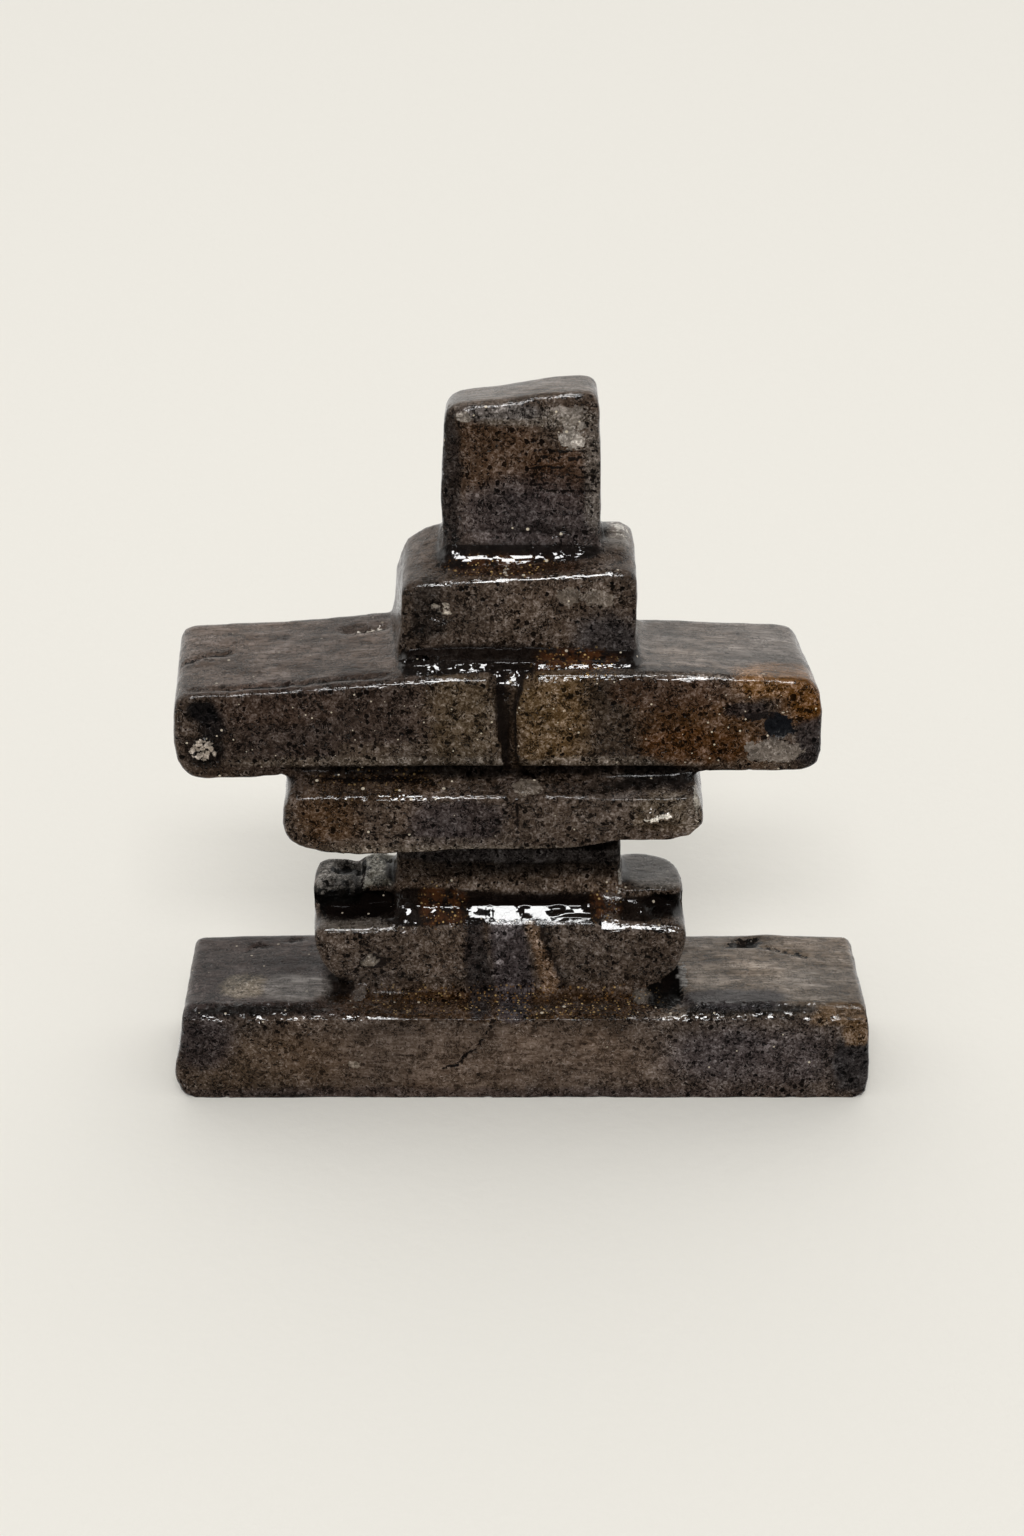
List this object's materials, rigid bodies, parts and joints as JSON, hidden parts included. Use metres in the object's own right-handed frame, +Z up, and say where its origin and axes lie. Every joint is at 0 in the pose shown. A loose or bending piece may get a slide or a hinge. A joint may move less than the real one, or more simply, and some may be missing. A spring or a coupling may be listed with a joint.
{
  "type": "inukshuk sculpture",
  "caption": "Small carved stone figure of stacked slabs with outstretched arms, standing on its flat base as an ornament.",
  "frame": {"origin": "on the flat underside, below the middle of the figure's bounding box", "axes": "+Z up, +Y to the flat back, so the ledges and the groove face -Y; +X to the viewer's right seen from the front"},
  "size_m": [0.1028, 0.0232, 0.1072],
  "materials": {
    "carved_stone": "dark speckled soft stone with brown, grey and orange patches, under a thick clear gloss lacquer"
  },
  "bodies": {
    "root": {"inukshuk_figure": "carved_stone"}
  },
  "joints": []
}
